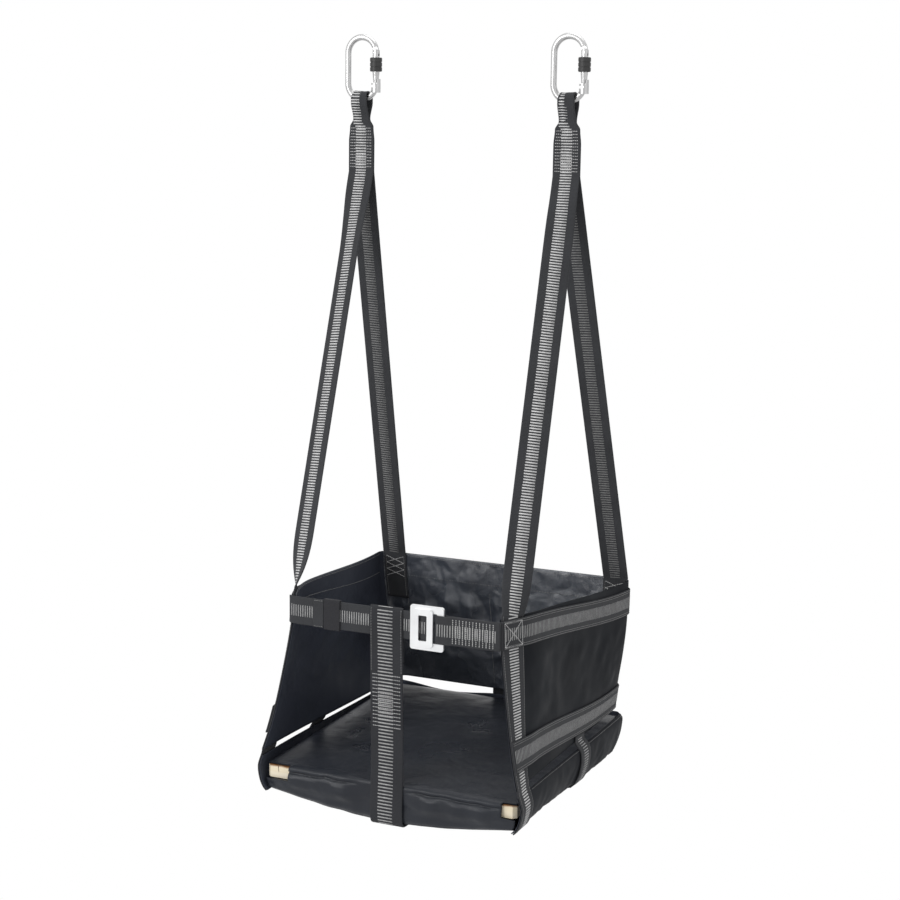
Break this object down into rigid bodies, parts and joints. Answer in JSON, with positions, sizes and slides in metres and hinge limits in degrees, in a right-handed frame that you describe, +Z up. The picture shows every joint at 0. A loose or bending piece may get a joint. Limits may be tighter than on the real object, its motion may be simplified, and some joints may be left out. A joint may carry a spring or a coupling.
{
  "type": "rope access seat",
  "caption": "Rope access seat: a fabric tub on a wooden board, hung by two webbing slings from screw gate carabiners and closed by a front belt with a steel buckle.",
  "frame": {"origin": "suspension point: midway between the two carabiners, level with the inner side of their crowns", "axes": "+X to the right of the seated worker's view from the front, +Y towards the back of the seat, +Z up"},
  "size_m": [0.4788, 0.5046, 1.2314],
  "materials": {
    "carabiner_steel": "polished zinc plated",
    "pin_steel": "plain turned",
    "spring_steel": "drawn wire",
    "sleeve_black": "black anodised, ribbed",
    "webbing": "woven charcoal polyester with a light ladder stripe",
    "keeper_webbing": "plain black webbing",
    "coated_fabric": "heavy coated cloth, slightly shiny",
    "pocket_fabric": "heavy coated cloth, slightly shiny",
    "plywood": "clear varnish",
    "buckle_steel": "zinc plated, pale"
  },
  "bodies": {
    "hangers": {"carabiner_left": "carabiner_steel", "carabiner_right": "carabiner_steel"},
    "left_gate": {"gate_left": "carabiner_steel", "gate_rivet_left": "pin_steel", "latch_pin_left": "pin_steel", "gate_spring_left": "spring_steel", "gate_plunger_left": "pin_steel"},
    "left_sleeve": {"locking_sleeve_left": "sleeve_black"},
    "right_gate": {"gate_right": "carabiner_steel", "gate_rivet_right": "pin_steel", "latch_pin_right": "pin_steel", "gate_spring_right": "spring_steel", "gate_plunger_right": "pin_steel"},
    "right_sleeve": {"locking_sleeve_right": "sleeve_black"},
    "seat": {"sling_eye_left": "webbing", "sling_eye_right": "webbing", "front_leg_left": "webbing", "front_leg_right": "webbing", "rear_leg_left": "webbing", "rear_leg_right": "webbing", "edge_webbing_left": "webbing", "edge_webbing_right": "webbing", "side_wall_left": "coated_fabric", "side_wall_right": "coated_fabric", "back_wall": "coated_fabric", "seat_skirt": "coated_fabric", "rim_band": "webbing", "lower_band": "webbing", "seat_board": "plywood", "seat_pocket": "pocket_fabric", "crotch_strap": "webbing", "cross_strap": "webbing", "belt_left": "webbing", "belt_right": "webbing", "buckle_frame": "buckle_steel"},
    "keeper": {"belt_keeper": "keeper_webbing"},
    "tongue": {"buckle_tongue": "buckle_steel"}
  },
  "joints": [
    {"name": "left_gate_hinge", "type": "hinge", "parent": "hangers", "child": "left_gate", "pos_m": [-0.153, 0, -0.0195], "axis": [0, 1, 0], "range_deg": [0, 24], "stiffness_Nm_per_rad": 0.4, "springref_deg": -17.19},
    {"name": "left_sleeve_lock", "type": "slide", "parent": "left_gate", "child": "left_sleeve", "axis": [0, 0, 1], "range_m": [-0.018, 0]},
    {"name": "right_gate_hinge", "type": "hinge", "parent": "hangers", "child": "right_gate", "pos_m": [0.203, 0, -0.0195], "axis": [0, 1, 0], "range_deg": [0, 24], "stiffness_Nm_per_rad": 0.4, "springref_deg": -17.19},
    {"name": "right_sleeve_lock", "type": "slide", "parent": "right_gate", "child": "right_sleeve", "axis": [0, 0, 1], "range_m": [-0.018, 0]},
    {"name": "seat_swing", "type": "hinge", "parent": "hangers", "child": "seat", "pos_m": [0, 0, -0.093], "axis": [1, 0, 0], "range_deg": [-30, 30]},
    {"name": "keeper_slide", "type": "slide", "parent": "seat", "child": "keeper", "axis": [1, 0, 0], "range_m": [0, 0.034]},
    {"name": "tongue_tilt", "type": "hinge", "parent": "seat", "child": "tongue", "pos_m": [0.071, -0.2444, -0.8895], "axis": [0, 0, 1], "range_deg": [0, 45]}
  ]
}
